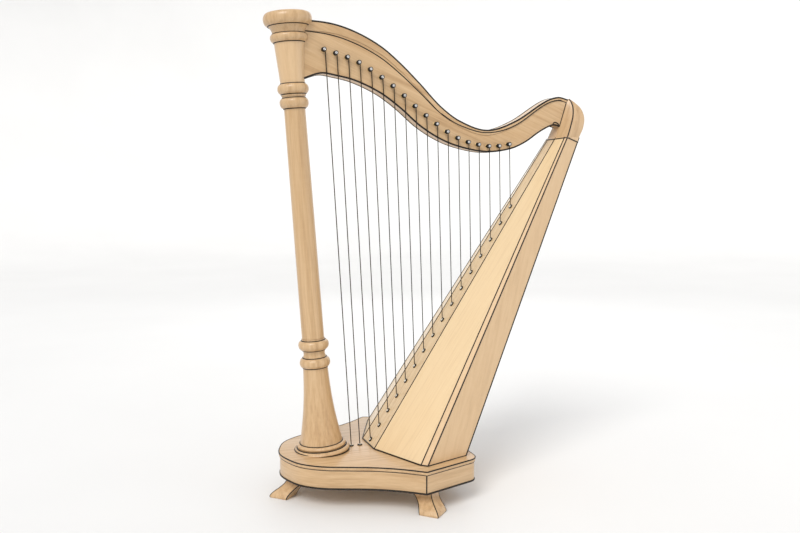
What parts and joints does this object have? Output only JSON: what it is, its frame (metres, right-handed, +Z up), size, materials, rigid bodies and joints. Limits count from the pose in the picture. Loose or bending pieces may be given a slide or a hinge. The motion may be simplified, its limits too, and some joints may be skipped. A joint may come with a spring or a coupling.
{
  "type": "harp",
  "caption": "Floor-standing harp with a turned column, curved neck, pitched soundbox and low footed base; its tuning pins turn in the neck.",
  "frame": {"origin": "at floor level, under the middle of the object's bounding box", "axes": "+Z up, +X from the column towards the back of the soundbox, +Y towards the right hand of a seated player"},
  "size_m": [1.0704, 0.6668, 1.4657],
  "materials": {
    "frame_wood": "satin lacquered pale maple",
    "trim_wood": "satin lacquered maple with dark bound edges",
    "board_wood": "satin lacquered spruce",
    "pin_steel": "polished steel",
    "string_gut": "dark wound bass strings and dark smooth strings"
  },
  "bodies": {
    "frame": {"base_body": "frame_wood", "base_top": "trim_wood", "column_bell": "frame_wood", "column_capital": "frame_wood", "column_foot": "frame_wood", "column_lower_collar": "frame_wood", "column_shaft": "frame_wood", "column_upper_collar": "frame_wood", "edge_moulding_left": "trim_wood", "edge_moulding_right": "trim_wood", "foot_back": "frame_wood", "foot_front": "frame_wood", "foot_left": "frame_wood", "foot_right": "frame_wood", "neck": "frame_wood", "neck_cap": "trim_wood", "shoulder_block": "frame_wood", "side_left": "frame_wood", "side_right": "frame_wood", "soundboard_left": "board_wood", "soundboard_right": "board_wood", "soundbox_back": "frame_wood", "soundbox_brace": "frame_wood", "string_01": "string_gut", "string_02": "string_gut", "string_03": "string_gut", "string_04": "string_gut", "string_05": "string_gut", "string_06": "string_gut", "string_07": "string_gut", "string_08": "string_gut", "string_09": "string_gut", "string_10": "string_gut", "string_11": "string_gut", "string_12": "string_gut", "string_13": "string_gut", "string_14": "string_gut", "string_15": "string_gut", "string_16": "string_gut", "string_17": "string_gut", "string_18": "string_gut", "string_band": "board_wood"},
    "tuning_pin_01": {"tuning_pin_01": "pin_steel"},
    "tuning_pin_02": {"tuning_pin_02": "pin_steel"},
    "tuning_pin_03": {"tuning_pin_03": "pin_steel"},
    "tuning_pin_04": {"tuning_pin_04": "pin_steel"},
    "tuning_pin_05": {"tuning_pin_05": "pin_steel"},
    "tuning_pin_06": {"tuning_pin_06": "pin_steel"},
    "tuning_pin_07": {"tuning_pin_07": "pin_steel"},
    "tuning_pin_08": {"tuning_pin_08": "pin_steel"},
    "tuning_pin_09": {"tuning_pin_09": "pin_steel"},
    "tuning_pin_10": {"tuning_pin_10": "pin_steel"},
    "tuning_pin_11": {"tuning_pin_11": "pin_steel"},
    "tuning_pin_12": {"tuning_pin_12": "pin_steel"},
    "tuning_pin_13": {"tuning_pin_13": "pin_steel"},
    "tuning_pin_14": {"tuning_pin_14": "pin_steel"},
    "tuning_pin_15": {"tuning_pin_15": "pin_steel"},
    "tuning_pin_16": {"tuning_pin_16": "pin_steel"},
    "tuning_pin_17": {"tuning_pin_17": "pin_steel"},
    "tuning_pin_18": {"tuning_pin_18": "pin_steel"}
  },
  "joints": [
    {"name": "tuning_pin_01_turn", "type": "hinge", "parent": "frame", "child": "tuning_pin_01", "pos_m": [-0.36021, 0, 1.35708], "axis": [0, 1, 0], "range_deg": [-720, 180]},
    {"name": "tuning_pin_02_turn", "type": "hinge", "parent": "frame", "child": "tuning_pin_02", "pos_m": [-0.32404, 0, 1.34834], "axis": [0, 1, 0], "range_deg": [-720, 180]},
    {"name": "tuning_pin_03_turn", "type": "hinge", "parent": "frame", "child": "tuning_pin_03", "pos_m": [-0.28787, 0, 1.33832], "axis": [0, 1, 0], "range_deg": [-720, 180]},
    {"name": "tuning_pin_04_turn", "type": "hinge", "parent": "frame", "child": "tuning_pin_04", "pos_m": [-0.2517, 0, 1.32431], "axis": [0, 1, 0], "range_deg": [-720, 180]},
    {"name": "tuning_pin_05_turn", "type": "hinge", "parent": "frame", "child": "tuning_pin_05", "pos_m": [-0.21553, 0, 1.30568], "axis": [0, 1, 0], "range_deg": [-720, 180]},
    {"name": "tuning_pin_06_turn", "type": "hinge", "parent": "frame", "child": "tuning_pin_06", "pos_m": [-0.17936, 0, 1.28375], "axis": [0, 1, 0], "range_deg": [-720, 180]},
    {"name": "tuning_pin_07_turn", "type": "hinge", "parent": "frame", "child": "tuning_pin_07", "pos_m": [-0.14319, 0, 1.25945], "axis": [0, 1, 0], "range_deg": [-720, 180]},
    {"name": "tuning_pin_08_turn", "type": "hinge", "parent": "frame", "child": "tuning_pin_08", "pos_m": [-0.10702, 0, 1.23128], "axis": [0, 1, 0], "range_deg": [-720, 180]},
    {"name": "tuning_pin_09_turn", "type": "hinge", "parent": "frame", "child": "tuning_pin_09", "pos_m": [-0.07085, 0, 1.20095], "axis": [0, 1, 0], "range_deg": [-720, 180]},
    {"name": "tuning_pin_10_turn", "type": "hinge", "parent": "frame", "child": "tuning_pin_10", "pos_m": [-0.03468, 0, 1.17298], "axis": [0, 1, 0], "range_deg": [-720, 180]},
    {"name": "tuning_pin_11_turn", "type": "hinge", "parent": "frame", "child": "tuning_pin_11", "pos_m": [0.00149, 0, 1.14774], "axis": [0, 1, 0], "range_deg": [-720, 180]},
    {"name": "tuning_pin_12_turn", "type": "hinge", "parent": "frame", "child": "tuning_pin_12", "pos_m": [0.03766, 0, 1.12458], "axis": [0, 1, 0], "range_deg": [-720, 180]},
    {"name": "tuning_pin_13_turn", "type": "hinge", "parent": "frame", "child": "tuning_pin_13", "pos_m": [0.07383, 0, 1.10598], "axis": [0, 1, 0], "range_deg": [-720, 180]},
    {"name": "tuning_pin_14_turn", "type": "hinge", "parent": "frame", "child": "tuning_pin_14", "pos_m": [0.11, 0, 1.09361], "axis": [0, 1, 0], "range_deg": [-720, 180]},
    {"name": "tuning_pin_15_turn", "type": "hinge", "parent": "frame", "child": "tuning_pin_15", "pos_m": [0.14617, 0, 1.08626], "axis": [0, 1, 0], "range_deg": [-720, 180]},
    {"name": "tuning_pin_16_turn", "type": "hinge", "parent": "frame", "child": "tuning_pin_16", "pos_m": [0.18234, 0, 1.08204], "axis": [0, 1, 0], "range_deg": [-720, 180]},
    {"name": "tuning_pin_17_turn", "type": "hinge", "parent": "frame", "child": "tuning_pin_17", "pos_m": [0.21851, 0, 1.08332], "axis": [0, 1, 0], "range_deg": [-720, 180]},
    {"name": "tuning_pin_18_turn", "type": "hinge", "parent": "frame", "child": "tuning_pin_18", "pos_m": [0.25468, 0, 1.08918], "axis": [0, 1, 0], "range_deg": [-720, 180]}
  ]
}
